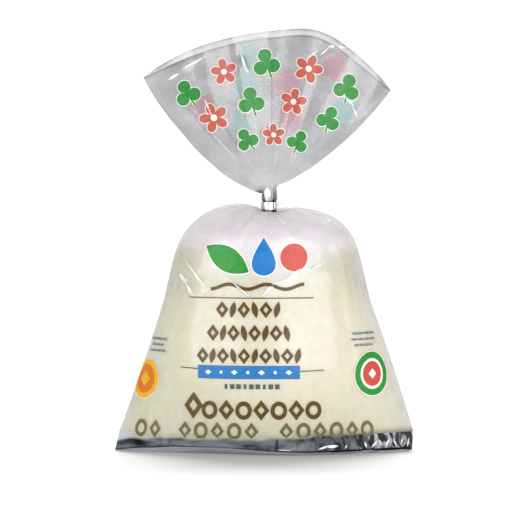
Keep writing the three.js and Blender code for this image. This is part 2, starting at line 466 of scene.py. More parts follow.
def radial_folds(bag, grid, rng):
    """Tent folds that run from the neck out over the shoulders and down the panels."""
    x = grid[..., 0] - bag.neck_x
    y = grid[..., 1]
    steps = np.linalg.norm(np.diff(grid[:, COLUMNS // 2], axis=0), axis=-1)
    reach = np.concatenate([np.cumsum(steps[::-1])[::-1], [0]])[:, None]
    height = np.zeros(x.shape)
    count = 26
    for i in range(count):
        angle = 2 * math.pi * (i + rng.uniform(-0.3, 0.3)) / count
        length = rng.uniform(22, 62) * MM
        strength = rng.uniform(0.5, 1.15) * MM
        ahead = x * math.cos(angle) + y * math.sin(angle)
        off = x * math.sin(angle) - y * math.cos(angle)
        width = (0.7 + 2.6 * np.clip(reach / (50 * MM), 0, 1)) * MM
        near = smooth(reach, 0, 7 * MM) * (1 - smooth(reach, 0.3 * length, length))
        height += strength * ridge(off, width) * near * (ahead > 0)
    return height - 0.25 * MM * (1 - smooth(reach, 10 * MM, 40 * MM)) * smooth(reach, 0, 7 * MM)


def body_folds(bag, grid):
    """How far the film stands out from its plain form, at each point of the body."""
    rng = random.Random(11)
    x, z = grid[..., 0], grid[..., 2]
    s, side = ring_places(COLUMNS)
    inner = (1 - s**2) ** 0.5
    height = radial_folds(bag, grid, rng)
    on_front = np.where(side == FRONT, inner, 0)
    for start, end, width, tall in FRONT_FOLDS:
        height += tall * MM * crease(x, z, start, end, width) * on_front
    on_back = np.where(side == BACK, inner, 0)
    back_folds = 12
    for _ in range(back_folds):
        start = rng.uniform(-50, 50), rng.uniform(30, 105)
        end = start[0] + rng.uniform(-16, 16), start[1] - rng.uniform(8, 26)
        height += rng.uniform(0.4, 0.9) * MM * crease(x, z, start, end, 2.6) * on_back
    # Short puckers stand on the bottom seal, where the full panels are drawn in.
    puckers = np.cos(31 * s + 3 * np.sin(7 * s)) * np.exp(-np.clip(z - bag.seal_height, 0, None) / (5 * MM))
    height += 0.35 * MM * puckers * inner * smooth(z, bag.seal_height, bag.seal_height + 2 * MM)
    # The whole panel is faintly uneven, as a thin film over liquid is.
    swell = np.sin(x / (11 * MM) + 2 * np.sin(z / (17 * MM))) * np.sin(z / (13 * MM) + 1)
    return height + 0.28 * MM * swell * inner


def pleats(s, side):
    """The gathered film round the neck, from 1 on its crests to -1 in its valleys."""
    return np.cos(13 * np.arcsin(s) * side + 0.6 * side)


def neck_pleats(bag, grid):
    """How far the fine pleats of the neck stand out. They are flatter inside the clip."""
    near = 1 - smooth(np.abs(grid[..., 2] - bag.clip_bottom - bag.clip_height), 2 * MM, 9 * MM)
    clamped = 1 - smooth(np.abs(grid[..., 2] - bag.clip_bottom - bag.clip_height / 2), 2.2 * MM, 3.2 * MM)
    return (0.45 - 0.3 * clamped) * MM * pleats(*ring_places(grid.shape[1] // 2)) * near


def pleat_shade(s, side):
    """Painted shade for the gathered film: darker in the valleys of its pleats, at its outer edges and over
    its right half.
    """
    valley = 0.5 - 0.5 * pleats(s, side)
    rim = smooth(np.abs(s), 0.58, 0.82) + 0.9 * smooth(s, 0.2, 0.5)
    return np.clip(0.3 * valley + rim, 0, 1)


# Short folds in the fan: start, end, width and height in millimetres, and the layer.
TAIL_FOLDS = (
    ((-13.5, 211), (-9.5, 202), 1.5, 0.9, FRONT),
    ((-32, 187), (-28, 178), 1.6, 0.8, FRONT),
    ((-52, 200), (-34, 211), 2.4, 0.9, FRONT),
    ((34, 217), (44, 214), 1.6, 0.9, FRONT),
    ((28, 208), (36, 214), 1.6, 0.8, FRONT),
    ((41, 190), (48, 182), 1.6, 0.8, FRONT),
    ((-38, 176), (-20, 158), 1.8, 0.6, FRONT),
    ((-5, 214), (10, 205), 2.2, 0.7, BACK),
    ((18, 214), (34, 200), 2.2, 0.8, BACK),
    ((-46, 192), (-30, 196), 2.2, 0.7, BACK),
    ((36, 176), (52, 192), 2.2, 0.7, BACK),
)


def tail_folds(tail, grid):
    """Pleats that spread from the neck and short folds, each in one layer of the fan."""
    rng = random.Random(5)
    s, side = ring_places(TAIL_COLUMNS)
    x, z = grid[..., 0], grid[..., 2]
    dx, dz = x - tail.root_x, z - tail.root_level
    reach = np.hypot(dx, dz)
    inner = (1 - s**2) ** 0.5
    height = np.zeros(x.shape)
    count = 15
    for layer in (FRONT, BACK):
        for i in range(count):
            angle = math.radians(lerp(-44, 44, (i + rng.uniform(-0.3, 0.3)) / (count - 1)))
            start, end = rng.uniform(0, 18) * MM, rng.uniform(30, 84) * MM
            off = dx * math.cos(angle) - dz * math.sin(angle)
            fade = smooth(reach, start, start + 8 * MM) * (1 - smooth(reach, 0.6 * end, end))
            width = (0.6 + reach / (60 * MM)) * MM
            tall = rng.uniform(0.35, 0.9) * MM * (1 if rng.random() < 0.7 else -1)
            height += tall * ridge(off, width) * fade * np.where(side == layer, inner, 0) * (dz > 0)
    for start, end, width, tall, layer in TAIL_FOLDS:
        height += tall * MM * crease(x, z, start, end, width) * np.where(side == layer, inner, 0)
    return height * smooth(reach, 4 * MM, 14 * MM)


# ---------------------------------------------------------------- meshes


def row_shift():
    """Carries the bag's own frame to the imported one. The clip is at a known place in both."""
    bag = bpy.context.scene.cheese_bag
    low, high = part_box("clip")
    return np.array([(low[0] + high[0]) / 2 - bag.neck_x, (low[1] + high[1]) / 2, low[2] - bag.clip_bottom])


def new_object(name, mesh, materials):
    mesh.shade_smooth()
    piece = bpy.data.objects.new(name, mesh)
    bpy.context.scene.collection.objects.link(piece)
    for material in materials:
        mesh.materials.append(material)
    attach(piece, "root")
    return piece


def skin(name, grid, bottom=False, top=False):
    """A mesh over a grid of rings, with its ends closed by a strip from front to back."""
    rows, count = grid.shape[:2]
    half = count // 2
    faces = []
    for row in range(rows - 1):
        low = row * count
        for i in range(count):
            j = (i + 1) % count
            faces.append((low + i, low + j, low + count + j, low + count + i))
    for closed, start, up in ((bottom, 0, False), (top, (rows - 1) * count, True)):
        for i in range(half if closed else 0):
            face = [start + i, start + i + 1, start + (count - i - 1) % count, start + (count - i) % count]
            face = list(dict.fromkeys(face))
            faces.append(tuple(face if up else face[::-1]))
    mesh = bpy.data.meshes.new(name)
    mesh.from_pydata((grid.reshape(-1, 3) + row_shift()).tolist(), [], faces)
    mesh.validate()
    return mesh


def paint(mesh, **layers):
    """Stores one number for each vertex in each named layer, for a material to read."""
    for name, values in layers.items():
        layer = mesh.attributes.new(name, "FLOAT", "POINT")
        layer.data.foreach_set("value", np.ascontiguousarray(values, dtype=np.float32).ravel())


def folded_body(bag, plain):
    height = body_folds(bag, plain) + neck_pleats(bag, plain)
    return plain + grid_normals(plain) * height[..., None]


def folded_fan(bag, tail):
    plain = tail_grid(bag, tail)
    height = tail_folds(tail, plain) + neck_pleats(bag, plain)
    return plain + grid_normals(plain) * height[..., None]


# ---------------------------------------------------------------- materials


def add_node(tree, kind, sockets=None, output=None, **settings):
    """Adds a node and gives back one of its outputs: the named one, or else the first that it has.
    A socket's value is a number, a colour, a colour's hex code or another node's output."""
    node = tree.nodes.new(f"ShaderNode{kind}")
    for name, value in settings.items():
        setattr(node, name, value)
    for name, value in (sockets or {}).items():
        if isinstance(value, bpy.types.NodeSocket):
            tree.links.new(value, node.inputs[name])
        else:
            node.inputs[name].default_value = srgb(value) if isinstance(value, str) else value
    return node.outputs[output] if output else next((out for out in node.outputs if out.enabled), None)


def new_material(name):
    material = bpy.data.materials.new(name)
    material.use_nodes = True
    material.node_tree.nodes.clear()
    return material, material.node_tree


def finish_material(material, sockets):
    """Adds the shader, with these values in its sockets, and the output."""
    tree = material.node_tree
    shader = add_node(tree, "BsdfPrincipled", sockets)
    add_node(tree, "OutputMaterial", {"Surface": shader})
    return material


def per_mm(size):
    """Noise scale that gives features of so many millimetres."""
    return 1 / (size * MM)


def wrinkle_normal(tree, coarse, fine, strength):
    """Bump of thin film: soft dents a few millimetres wide with finer crinkles on them."""
    place = add_node(tree, "TexCoord", output="Object")
    dents = add_node(tree, "TexNoise", {"Vector": place, "Scale": per_mm(coarse), "Detail": 2.0})
    crinkle = add_node(
        tree, "TexNoise", {"Vector": place, "Scale": per_mm(fine), "Detail": 3.0, "Distortion": 0.8}
    )
    both = add_node(tree, "Math", {0: crinkle, 1: 0.25, 2: dents}, operation="MULTIPLY_ADD")
    return add_node(tree, "Bump", {"Height": both, "Strength": strength, "Distance": 0.6 * MM})


def polyethylene_film(finish, clear, gloss, roughness):
    """Low-density polyethylene, blown. Thin and glossy, with a haze of the given colour where it is clear,
    and white with droplets above the whey. The layers value mixes in painted shade towards near-black: in the
    pleats and on the outer edges of the gathered neck, along folded edges and the cut mouth, and over shaded
    parts of the panels."""
    material, tree = new_material(f"Polyethylene film, {finish}")
    haze, dark, milky = (
        add_node(tree, "Attribute", output="Fac", attribute_name=layer)
        for layer in ("haze", "layers", "droplets")
    )
    place = add_node(tree, "TexCoord", output="Object")
    cloud = add_node(tree, "TexNoise", {"Vector": place, "Scale": per_mm(14), "Detail": 4.0})
    patchy = add_node(
        tree, "MapRange", {"Value": cloud, "From Min": 0.3, "From Max": 0.7, "To Min": 0.8, "To Max": 1.2}
    )
    alpha = add_node(tree, "Math", {0: haze, 1: patchy}, operation="MULTIPLY", use_clamp=True)
    droplets = add_node(tree, "Mix", {"Factor": milky, "A": srgb(clear), "B": "#ebe6ed"}, data_type="RGBA")
    # Painted shade: the layers value darkens the film towards near-black.
    colour = add_node(tree, "Mix", {"Factor": dark, "A": droplets, "B": "#1b1e22"}, data_type="RGBA")
    return finish_material(material, {
        "Base Color": colour,
        "Alpha": alpha,
        "Roughness": roughness,
        "IOR": gloss,
        "Normal": wrinkle_normal(tree, 9, 2.2, 0.35),
    })


def fold_highlight_film():
    """Painted highlights on sharp folds: near-white, partly clear, glossy slivers of the same film where it
    is doubled over, standing in for the light that the folds catch.
    """
    material, tree = new_material("Polyethylene film, doubled")
    place = add_node(tree, "TexCoord", output="Object")
    broken = add_node(tree, "TexNoise", {"Vector": place, "Scale": per_mm(5), "Detail": 2.0})
    alpha = add_node(tree, "MapRange", {"Value": broken, "From Min": 0.3, "From Max": 0.55, "To Min": 0.5})
    return finish_material(material, {
        "Base Color": "#fbf9fa",
        "Alpha": alpha,
        "Roughness": 0.1,
        "IOR": 1.8,
        "Normal": wrinkle_normal(tree, 6, 1.5, 0.3),
    })


def shadow_line_film():
    """A painted shadow line along the seal's cut lower edge: a nearly black, dull strip that stands in for
    the shade there.
    """
    material, _tree = new_material("Polyethylene film, cut edge")
    return finish_material(material, {"Base Color": "#0d0e10", "Roughness": 0.7, "IOR": 1.2})


def welded_film_with_painted_shade():
    """The same film, welded into a seal: glossy, crinkled like foil towards one end, and lilac-white above
    the weld, where it is still two loose layers. Its dark grey colour, in streaked patches, is painted shade
    and reflection, and the bright specks on the crinkles are painted glints."""
    material, tree = new_material("Polyethylene film, welded and crimped")
    welded, crinkled, shade_and_lap, milky = (
        add_node(tree, "Attribute", output="Fac", attribute_name=layer)
        for layer in ("welded", "crinkled", "layers", "droplets")
    )
    place = add_node(tree, "TexCoord", output="Object")
    cells = add_node(tree, "TexVoronoi", {"Vector": place, "Scale": per_mm(5)}, feature="SMOOTH_F1")
    # Painted shade and reflection: streaked patches between near-black and grey make up the weld's colour.
    streaked = add_node(tree, "Mapping", {"Vector": place, "Scale": (0.25, 0.25, 1.0)})
    cloud = add_node(tree, "TexNoise", {"Vector": streaked, "Scale": per_mm(5), "Detail": 3.0})
    depth = add_node(tree, "MapRange", {"Value": crinkled, "To Min": 0.12})
    height = add_node(tree, "Math", {0: cells, 1: depth}, operation="MULTIPLY")
    bump = add_node(tree, "Bump", {"Height": height, "Distance": 2.4 * MM})
    tint = add_node(tree, "MapRange", {"Value": cloud, "From Min": 0.38, "From Max": 0.62})
    # Painted glints: bright facets on the crinkles, mixed towards near-white.
    slanted = add_node(
        tree,
        "Mapping",
        {"Vector": place, "Rotation": (0, math.radians(-28), 0), "Scale": (1.0, 1.0, 2.4)},
        vector_type="TEXTURE",
    )
    facets = add_node(
        tree, "TexNoise", {"Vector": slanted, "Scale": per_mm(4), "Detail": 1.0, "Distortion": 0.8}
    )
    bright = add_node(tree, "MapRange", {"Value": facets, "From Min": 0.44, "From Max": 0.62})
    glint = add_node(tree, "Math", {0: bright, 1: crinkled}, operation="MULTIPLY")
    # Painted shade: where the layers value is high the patches go nearly black; the lap seam's line is its
    # own.
    dim = add_node(tree, "MapRange", {"Value": shade_and_lap, "To Min": 1.0, "To Max": 0.06})
    patches = add_node(tree, "Math", {0: tint, 1: dim}, operation="MULTIPLY")
    weld = add_node(tree, "Mix", {"Factor": patches, "A": "#121418", "B": "#777e88"}, data_type="RGBA")
    weld = add_node(tree, "Mix", {"Factor": glint, "A": weld, "B": "#d6d8df"}, data_type="RGBA")
    loose = add_node(tree, "Mix", {"Factor": milky, "A": "#bfbba8", "B": "#c6c9d4"}, data_type="RGBA")
    colour = add_node(tree, "Mix", {"Factor": welded, "A": loose, "B": weld}, data_type="RGBA")
    return finish_material(material, {"Base Color": colour, "Roughness": 0.22, "IOR": 1.4, "Normal": bump})


def milky_whey():
    """Whey with curd fines in it. Opaque white liquid, cream where the ball lies close behind it and
    greener where it is deep, with the gloss of the wet film over it."""
    material, tree = new_material("Whey, milky")
    close = add_node(tree, "Attribute", output="Fac", attribute_name="ball")
    place = add_node(tree, "TexCoord", output="Object")
    swirl = add_node(
        tree, "TexNoise", {"Vector": place, "Scale": per_mm(30), "Detail": 3.0, "Distortion": 1.2}
    )
    uneven = add_node(tree, "Math", {0: swirl, 1: 0.5, 2: close}, operation="MULTIPLY_ADD")
    share = add_node(tree, "MapRange", {"Value": uneven, "From Min": 0.2, "From Max": 1.2})
    colour = add_node(tree, "Mix", {"Factor": share, "A": "#dad9bd", "B": "#f2ecda"}, data_type="RGBA")
    return finish_material(material, {
        "Base Color": colour,
        "Roughness": 0.45,
        "IOR": 1.35,
        "Coat Weight": 0.5,
        "Coat Roughness": 0.12,
        "Coat IOR": 1.5,
        "Subsurface Weight": 0.3,
        "Subsurface Radius": (1.0, 0.9, 0.6),
        "Subsurface Scale": 4 * MM,
        "Normal": wrinkle_normal(tree, 8, 2.5, 0.5),
    })


def stretched_curd():
    """Buffalo mozzarella, stretched in hot water. Porcelain white, wet and smooth, with faint layers."""
    material, tree = new_material("Mozzarella curd, stretched")
    place = add_node(tree, "TexCoord", output="Object")
    layers = add_node(
        tree,
        "TexWave",
        {"Vector": place, "Scale": per_mm(28), "Distortion": 6.0, "Detail": 2.0},
        output="Fac",
        bands_direction="Z",
    )
    colour = add_node(tree, "Mix", {"Factor": layers, "A": "#f6f1e2", "B": "#fbf8ee"}, data_type="RGBA")
    bump = add_node(tree, "Bump", {"Height": layers, "Strength": 0.3, "Distance": 0.5 * MM})
    return finish_material(material, {
        "Base Color": colour,
        "Roughness": 0.3,
        "IOR": 1.45,
        "Subsurface Weight": 0.4,
        "Subsurface Radius": (1.0, 0.85, 0.6),
        "Subsurface Scale": 6 * MM,
        "Normal": bump,
    })


def printing_ink(name, colour, glow=0.0):
    """Flexographic ink on film. A flat satin colour, a little mottled where the plate pressed unevenly.
    The glow is painted light: an emission that stands in for daylight coming through it from the other side."""
    material, tree = new_material(f"Flexographic ink, {name}")
    place = add_node(tree, "TexCoord", output="Object")
    mottle = add_node(tree, "TexNoise", {"Vector": place, "Scale": per_mm(2.5), "Detail": 3.0})
    share = add_node(tree, "MapRange", {"Value": mottle, "From Min": 0.35, "From Max": 0.75, "To Max": 0.03})
    mixed = add_node(tree, "Mix", {"Factor": share, "A": tuple(colour), "B": "#ffffff"}, data_type="RGBA")
    return finish_material(material, {
        "Base Color": mixed,
        "Emission Color": tuple(colour),
        "Emission Strength": glow,
        "Roughness": 0.3,
        "Specular IOR Level": 0.35,
        "Normal": wrinkle_normal(tree, 9, 2.2, 0.2),
    })


def drawn_aluminium():
    """Aluminium wire, drawn flat and crimped. Bright, with fine lines along the wire."""
    material, tree = new_material("Aluminium wire, drawn and crimped")
    place = add_node(tree, "TexCoord", output="Object")
    stretched = add_node(tree, "Mapping", {"Vector": place, "Scale": (0.15, 0.15, 1.0)})
    lines = add_node(tree, "TexNoise", {"Vector": stretched, "Scale": per_mm(0.25), "Detail": 2.0})
    rough = add_node(tree, "MapRange", {"Value": lines, "To Min": 0.18, "To Max": 0.42})
    bump = add_node(tree, "Bump", {"Height": lines, "Strength": 0.3, "Distance": 0.1 * MM})
    colour = add_node(tree, "Mix", {"Factor": lines, "A": "#c9cbcd", "B": "#f2f3f4"}, data_type="RGBA")
    return finish_material(material, {
        "Base Color": colour,
        "Metallic": 1.0,
        "Roughness": rough,
        "Normal": bump,
    })


def studio_floor():
    """A sheet of white paper: matt, with a trace of unevenness."""
    material, tree = new_material("Background paper, matt white")
    place = add_node(tree, "TexCoord", output="Object")
    grain = add_node(tree, "TexNoise", {"Vector": place, "Scale": per_mm(400)})
    colour = add_node(tree, "Mix", {"Factor": grain, "A": "#f1f1f1", "B": "#f5f5f5"}, data_type="RGBA")
    return finish_material(material, {
        "Base Color": colour,
        "Roughness": 0.9,
        "Emission Color": (1.0, 1.0, 1.0, 1.0),
        "Emission Strength": 0.06,
    })


# ---------------------------------------------------------------- printed shapes
# A shape is a list of closed outlines, in millimetres across and up the film. Overlaps are holes.


def turned(shape, degrees):
    c, s = math.cos(math.radians(degrees)), math.sin(math.radians(degrees))
    return [outline @ np.array([[c, s], [-s, c]]) for outline in shape]


def moved(shape, x, z):
    return [outline + (x, z) for outline in shape]


def polar(radius, count=48):
    """An outline whose distance from its middle is a function of the angle from its top."""
    angle = np.linspace(0, 2 * math.pi, count, endpoint=False)
    r = radius(angle) * np.ones(count)
    return np.stack([r * np.sin(angle), r * np.cos(angle)], axis=1)


def disc(radius):
    return [polar(lambda angle: radius)]


def ring_shape(outer, inner, tall):
    return [polar(lambda angle: r) * (1, tall) for r in (outer, inner)]


def diamond(width, height, hole=0.0):
    corners = np.array([(0, 0.5), (0.5, 0), (0, -0.5), (-0.5, 0)]) * (width, height)
    return [corners, corners * hole] if hole else [corners]


def bar(width, height):
    return [np.array([(-0.5, -0.5), (0.5, -0.5), (0.5, 0.5), (-0.5, 0.5)]) * (width, height)]


def leaf(width, height):
    up = np.linspace(-1, 1, 15)
    side = (1 - up**2) * width / 2
    edge = np.stack([side, up * height / 2], axis=1)
    return [np.concatenate([edge, (edge * (-1, 1))[::-1][1:-1]])]


def drop(width, height):
    """A drop that hangs from its point."""
    angle = np.linspace(0, 2 * math.pi, 40, endpoint=False)
    across_it = np.sin(angle) * np.sin(angle / 2) ** 1.3 * width * 0.62
    return [np.stack([across_it, np.cos(angle) * height / 2], axis=1)]


def wave_line(length, thickness, height, waves):
    x = np.linspace(-length / 2, length / 2, 60)
    z = height * np.sin(2 * math.pi * waves * x / length)
    top = np.stack([x, z + thickness / 2], axis=1)
    return [np.concatenate([top, (top - (0, thickness))[::-1]])]


def flower(size):
    petals = polar(lambda a: size * (0.34 + 0.66 * np.abs(np.cos(2.5 * a)) ** 0.7) / 2, 80)
    return [petals, disc(0.11 * size)[0]]


def trefoil(size):
    """A clover leaf and its stem, as two shapes."""
    leaves = polar(lambda a: size * (0.22 + 0.78 * np.abs(np.cos(1.5 * a)) ** 0.55) / 2, 90)
    stem = np.array([(-0.03, -0.05), (0.03, -0.05), (0.12, -0.52), (0.05, -0.54)]) * size
    return [leaves], [stem]


def grown(outline, by):
    """The outline pushed outwards all round."""
    after, before = np.roll(outline, -1, axis=0), np.roll(outline, 1, axis=0)
    along = after - before
    normal = np.stack([along[:, 1], -along[:, 0]], axis=1)
    normal /= np.maximum(np.linalg.norm(normal, axis=1, keepdims=True), 1e-9)
    area = np.sum(outline[:, 0] * after[:, 1] - after[:, 0] * outline[:, 1])
    return outline + normal * by * (1 if area > 0 else -1)


def finely(outline, step):
    """The outline with points added so that none of its edges is longer than the step."""
    out = []
    for start, end in zip(outline, np.roll(outline, -1, axis=0)):
        count = max(1, math.ceil(np.linalg.norm(end - start) / step))
        out += [lerp(start, end, i / count) for i in range(count)]
    return np.array(out)


def inside(points_2d, shape):
    """Which points lie inside an odd number of the shape's outlines."""
    x, z = points_2d.T
    odd = np.zeros(len(x), dtype=bool)
    for outline in shape:
        for (x0, z0), (x1, z1) in zip(outline, np.roll(outline, -1, axis=0)):
            if z0 != z1:
                odd ^= ((z0 > z) != (z1 > z)) & (x < (x1 - x0) * (z - z0) / (z1 - z0) + x0)
    return odd


def filled(shape):
    """Points and triangles that fill the shape, small enough to follow the film's folds."""
    step = PRINT_CELL / MM
    shape = [finely(outline, step) for outline in shape]
    every = np.concatenate(shape)
    low, high = every.min(axis=0) + step / 2, every.max(axis=0)
    grid = np.stack(np.meshgrid(np.arange(low[0], high[0], step), np.arange(low[1], high[1], step)), -1)
    grid = grid.reshape(-1, 2)
    edges, start = [], 0
    for outline in shape:
        count = len(outline)
        edges += [(start + i, start + (i + 1) % count) for i in range(count)]
        start += count
    every = np.concatenate([every, grid[inside(grid, shape)]])
    flat = [Vector(point) for point in every.tolist()]
    flat, _edges, triangles, *_ = delaunay_2d_cdt(flat, edges, [], 0, 1e-5)
    flat = np.array([tuple(point) for point in flat])
    triangles = np.array(triangles)
    middle = flat[triangles].mean(axis=1)
    return flat, triangles[inside(middle, shape)]


# ---------------------------------------------------------------- print on the film


class Figure(NamedTuple):
    """One printed shape: its ink, the underprint that shows round it, the layer it is in, and the
    colour that its inner side shows through clear film."""

    ink: str
    shape: list
    under: str | None = None
    halo: float = 0.0
    layer: int = 0
    inner: str | None = None


def unroll_table(bag):
    """Places across the panel for distances along its film, at several heights."""
    levels = np.linspace(bag.seal_height, bag.shoulder_level, 24)
    s = np.linspace(-1, 1, 801)
    tables = []
    for z in levels:
        line = section(bag, z, half_width(bag, z), half_depth(bag, z, FRONT), s, FRONT)
        length = np.concatenate([[0], np.cumsum(np.linalg.norm(np.diff(line, axis=0), axis=1))])
        middle = np.interp(0, line[:, 0], length)
        tables.append((length - middle, line[:, 0]))
    return levels, tables


def rolled(bag, flat, side):
    """Lays flat print round the panel: distances along the film become places across the bag."""
    levels, tables = unroll_table(bag)
    where = np.interp(flat[:, 1] * MM, levels, np.arange(len(levels)))
    x = np.empty(len(flat))
    for i, (place, level) in enumerate(zip(flat[:, 0] * MM * -side, where)):
        low = min(int(level), len(levels) - 2)
        near = [np.interp(place, *tables[low + k]) for k in (0, 1)]
        x[i] = lerp(near[0], near[1], level - low)
    return np.stack([x, flat[:, 1] * MM], axis=1)


def straight(flat):
    """Lays flat print on as it is seen from the front."""
    return flat * MM


def surface(pieces):
    """One search tree over the named pieces of film."""
    corners, faces = [], []
    for piece in pieces:
        mesh = bpy.data.objects[piece].data
        first = len(corners)
        corners += [vertex.co for vertex in mesh.vertices]
        faces += [[first + i for i in face.vertices] for face in mesh.polygons]
    return BVHTree.FromPolygons(corners, faces)


def figure_layers(figure):
    """The name, the outlines and the lift of each layer that a figure has."""
    edge = [grown(figure.shape[0], figure.halo)]
    layers = (
        (figure.ink, figure.shape, INK_LIFT + OVER_LIFT * figure.layer),
        (figure.under, edge, UNDER_LIFT),
        (figure.inner, edge, INNER_LIFT),
    )
    return [layer for layer in layers if layer[0]]


def lay_print(name, films, figures, finishes, side, place):
    """Lays figures on pieces of film, in the finishes that their layers name."""
    tree = surface(films)
    shift = row_shift()
    outside = side * 0.3  # metres, clear of the film on the side that is printed
    points_3d, faces, painted = [], [], []
    for figure in figures:
        for layer, outlines, lift in figure_layers(figure):
            flat, triangles = filled(outlines)
            spots = place(flat)
            # The first triangle tells whether laying the figure on has turned its face inwards.
            first = spots[triangles[0]]
            (ax, az), (bx, bz) = first[1] - first[0], first[2] - first[0]
            facing = -side * (ax * bz - az * bx)
            known = {}
            for i in sorted(set(triangles.ravel().tolist())):
                origin = Vector((spots[i, 0] + shift[0], outside, spots[i, 1] + shift[2]))
                hit, normal, _face, _distance = tree.ray_cast(origin, Vector((0, -side, 0)))
                if hit:
                    known[i] = len(points_3d)
                    points_3d.append(hit + normal * (lift * MM if normal.y * side > 0 else -lift * MM))
            for triangle in triangles.tolist():
                if all(i in known for i in triangle):
                    corners = [known[i] for i in triangle]
                    faces.append(corners if facing > 0 else corners[::-1])
                    painted.append(layer)
    mesh = bpy.data.meshes.new(name)
    mesh.from_pydata([tuple(point) for point in points_3d], [], faces)
    used = [finish for finish in finishes if finish in painted]
    piece = new_object(name, mesh, [finishes[finish] for finish in used])
    mesh.polygons.foreach_set("material_index", [used.index(layer) for layer in painted])
    return piece


def in_row(count, step, middle=0.0):
    """Numbers and places of figures that stand in a row, so many millimetres apart."""
    return [(i, middle + step * (i - (count - 1) / 2)) for i in range(count)]


def parts_of(width, count, middle=0.0):
    """Numbers and middles of the equal parts of a width."""
    return [(i, middle + width * ((i + 0.5) / count - 0.5)) for i in range(count)]


def front_figures():
    """The printed front: an emblem, rows of ornament, a band, two round seals and small marks."""
    made = []

    def add(ink, shape, x, z, turn=0.0, under=None, halo=0.5, layer=0):
        made.append(Figure(ink, moved(turned(shape, turn), x, z), under, halo, layer))

    add("green", leaf(13, 27), -20.5, 104, 60, "white", 0.7)
    add("blue", drop(14, 20), -1.0, 105.5, 0, "white", 0.7)
    add("coral", disc(7.3), 15, 105, 0, "white", 0.7)
    add("brown", wave_line(50, 1.9, 1.3, 2.5), -4.5, 89.6)
    add("brown", bar(68, 0.55), -8.3, 83.7)
    for z, width, height, count in ((77.6, 35, 8.8, 6), (65.4, 45, 8.8, 8), (53.5, 57, 8.4, 10)):
        for i, x in parts_of(width, count, -8.6):
            shape = leaf(3.2, height) if i % 2 else diamond(6.8, height, 0.4)
            add("brown", shape, x, z, -12 if i % 4 == 1 else 12 if i % 4 == 3 else 0)
    add("band", bar(55, 7.0), -9.4, 44.9)
    for i, x in in_row(7, 7.2, -9.4):
        add("white", disc(0.85) if i % 2 else diamond(3.6, 2.6), x, 44.9, layer=1)
    add("brown", bar(11, 0.5), -42.4, 46.6, -2)
    add("brown", bar(13, 0.5), 25, 45.6, 2)
    for i, x in in_row(9, 3.4, -7.5):
        add("slate", bar(2.4 if i % 3 else 1.4, 2.6), x, 37.4)
    for i, x in in_row(8, 9.3, -7):
        if i == 0:
            add("brown", diamond(11, 14.5, 0.45), x, 26.8)
        elif i % 2:
            add("brown", ring_shape(4.4, 2.3, 1.12), x, 24.6)
        else:
            add("brown", diamond(8.6, 11, 0.42), x, 24.8)
    # The lowest row is worn off in two places, and ends where the film is welded.
    level, half_base, highest, worn = 13.2, 78.5, 9.6, (2, 8)
    for i, x in in_row(15, 9.2, -7.5):
        if i not in worn:
            shape = diamond(7.4, 10, 0.45) if i % 2 else ring_shape(3.9, 2.2, 1.2)
            weld = min(np.interp(x / half_base, *WELD_TOP), highest)
            add("faded", [np.maximum(outline, (-math.inf, weld - level)) for outline in shape], x, level)
    left = ("yellow", disc(10.4)), ("orange", disc(7.6)), ("yellow", diamond(8.4, 8.4))
    right = ("green", disc(11.6)), ("white", disc(8.2)), ("coral", disc(6.6)), ("white", diamond(5.6, 5.6))
    for x, z, halo, parts in ((-73.6, 39.4, 0.4, left), (61.7, 42.8, 0.6, right)):
        for layer, (ink, shape) in enumerate(parts):
            add(ink, shape, x, z, 0, None if layer else "white", halo, layer)
    for x, z, widths in ((-66, 57.5, (17, 12, 15)), (56.4, 61, (17, 18, 14))):
        for row, width in enumerate(widths):
            for _, middle in parts_of(width, 4, x):
                add("pale", bar(width / 4 - 0.8, 1.2), middle, z + 3.4 - 3.1 * row)
    return made


# Painted highlights, bright streaks on sharp folds: start, end and width in millimetres.
FRONT_HIGHLIGHTS = (
    ((-43.5, 104), (-31, 88), 1.0),
    ((-45.5, 96), (-41.5, 90), 2.0),
    ((-43, 93.5), (-40.5, 92), 0.9),
    ((-42, 90.5), (-38, 84), 1.8),
    ((-38, 96), (-31.5, 89), 0.8),
    ((-34, 86.5), (-29.5, 88.5), 1.2),
    ((-23, 96.5), (-8, 84), 0.9),
    ((-1.5, 85), (6, 92.5), 1.8),
    ((5.5, 91.5), (12, 93.5), 1.3),
    ((11, 92.5), (19, 99.5), 1.9),
    ((18.5, 98), (24, 98.5), 2.0),
    ((24, 99), (31, 101.5), 1.0),
    ((-4, 128), (-12.5, 118), 0.9),
    ((4.2, 128), (14, 118.5), 1.1),
    ((14, 119.5), (20, 112), 0.6),
    ((29, 122), (36, 124), 0.7),
)
# Painted highlights on the seal's crinkles and folds.
SEAL_HIGHLIGHTS = (
    ((27.5, 3.4), (34, 5.4), 1.0),
    ((32, 4.6), (38.5, 5.0), 1.5),
    ((42, 3.4), (42.8, 5.4), 0.9),
    ((52.5, 6.6), (53.5, 3.4), 1.0),
    ((56, 3.0), (59.5, 7.0), 1.2),
    ((60, 7.2), (62, 4.0), 0.8),
    ((64, 3.2), (65.5, 7.4), 1.1),
    ((68, 6.8), (69.5, 3.6), 0.9),
    ((72, 3.6), (73, 7.6), 1.0),
    ((75.5, 2.4), (76.5, 7.4), 0.7),
    ((-26, 3.6), (-12, 3.9), 0.4),
    ((6, 3.8), (14, 3.2), 0.4),
)
# The seal's cut lower edge, where a painted shadow line lies: start, end and width in millimetres.
SEAL_SHADOW_LINE = (
    ((24, 2.3), (56, 2.2), 0.8),
    ((55, 2.1), (79, 1.7), 1.0),
)
